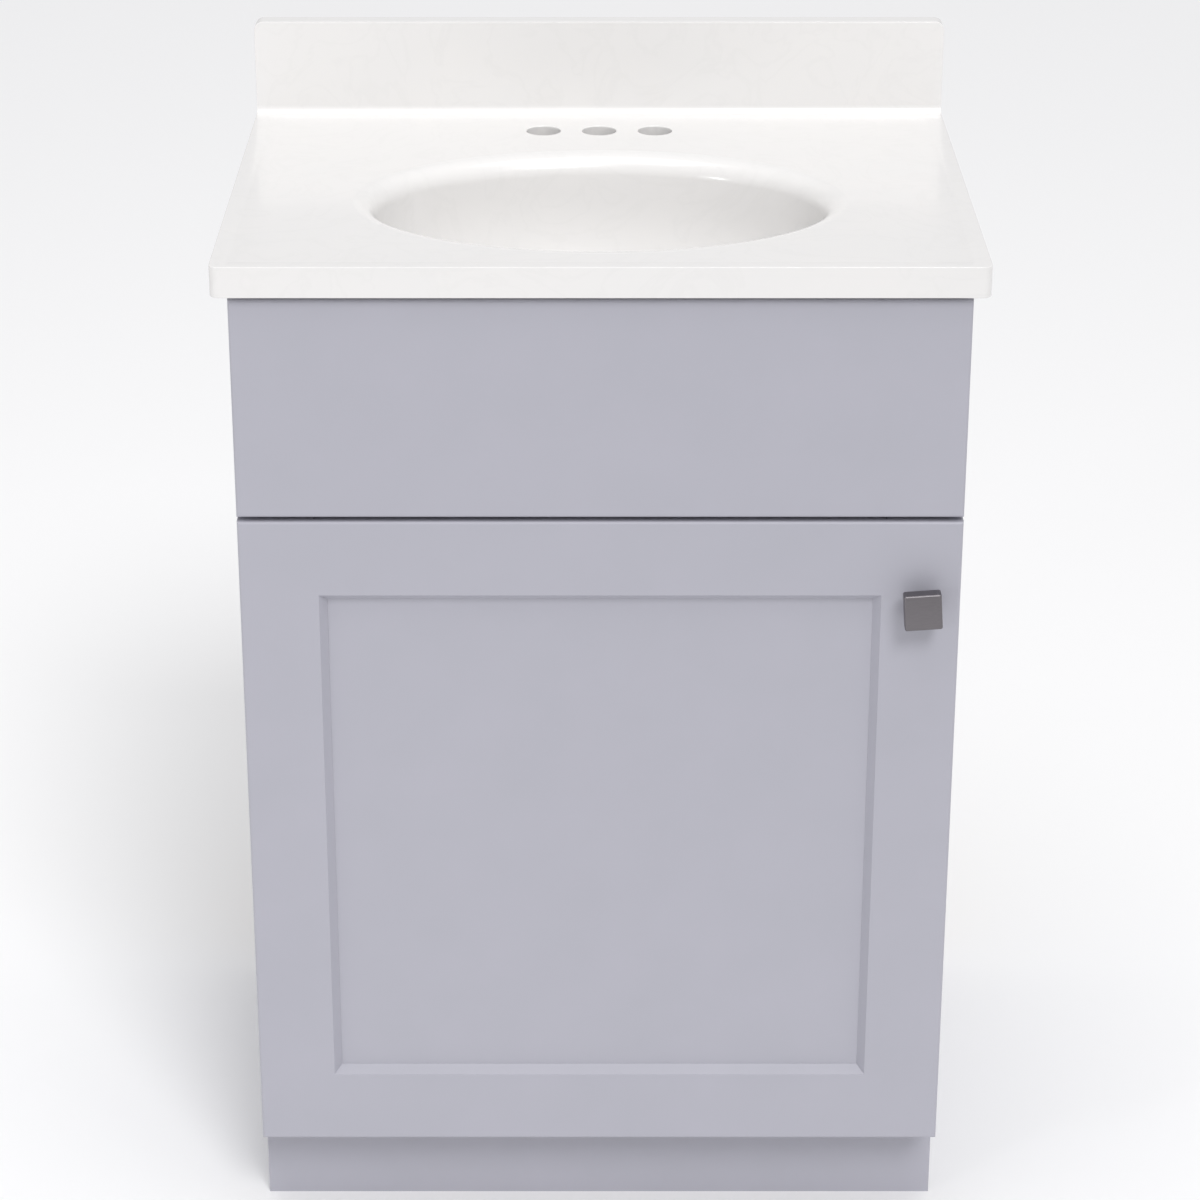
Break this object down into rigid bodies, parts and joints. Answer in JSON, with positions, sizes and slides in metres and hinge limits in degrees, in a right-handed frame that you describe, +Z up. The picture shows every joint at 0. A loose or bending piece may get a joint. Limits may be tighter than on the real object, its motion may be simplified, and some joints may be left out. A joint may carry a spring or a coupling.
{
  "type": "bathroom vanity cabinet",
  "caption": "Painted single-door bathroom vanity cabinet with a false drawer front, square knob and a one-piece cultured marble top with oval bowl and backsplash.",
  "frame": {"origin": "on the floor, at the centre of the object's box, left to right and from the knob's face to the wall", "axes": "+Z up, -Y towards the user at the front, +X to the right of someone facing the cabinet"},
  "size_m": [0.635, 0.502, 1.0004],
  "materials": {
    "painted_wood": "satin light grey paint on wood",
    "bare_wood": "clear-sealed birch",
    "cultured_marble": "polished white gel coat",
    "knob_nickel": "brushed nickel",
    "hinge_steel": "nickel-plated pressed steel",
    "screw_zinc": "zinc plated",
    "bumper": "clear moulded bumper"
  },
  "bodies": {
    "cabinet": {"side_panel_left": "painted_wood", "side_panel_right": "painted_wood", "toe_kick_board": "painted_wood", "frame_stile_left": "painted_wood", "frame_stile_right": "painted_wood", "frame_rail_top": "painted_wood", "frame_rail_middle": "painted_wood", "frame_rail_bottom": "painted_wood", "false_drawer_front": "painted_wood", "bottom_panel": "bare_wood", "back_rail_upper": "bare_wood", "back_rail_lower": "bare_wood", "toe_kick_back_rail": "bare_wood", "corner_brace_front_left": "bare_wood", "corner_brace_front_right": "bare_wood", "corner_brace_back_left": "bare_wood", "corner_brace_back_right": "bare_wood", "false_front_cleat_left": "bare_wood", "false_front_cleat_right": "bare_wood", "frame_dowels": "bare_wood", "vanity_top": "cultured_marble", "hinge_arm_lower": "hinge_steel", "hinge_arm_upper": "hinge_steel", "hinge_arm_screws": "screw_zinc", "false_front_screws": "screw_zinc", "false_front_pads": "bumper"},
    "door": {"door_stile_left": "painted_wood", "door_stile_right": "painted_wood", "door_rail_bottom": "painted_wood", "door_rail_top": "painted_wood", "door_panel": "painted_wood", "door_bumpers": "bumper", "knob": "knob_nickel", "knob_screw": "screw_zinc", "hinge_cup_lower": "hinge_steel", "hinge_cup_upper": "hinge_steel", "hinge_pin_lower": "hinge_steel", "hinge_pin_upper": "hinge_steel", "hinge_cup_screws": "screw_zinc"}
  },
  "joints": [
    {"name": "door_swing", "type": "hinge", "parent": "cabinet", "child": "door", "pos_m": [-0.2948, -0.21395, 0.3895], "axis": [0, 0, -1], "range_deg": [0, 105]}
  ]
}
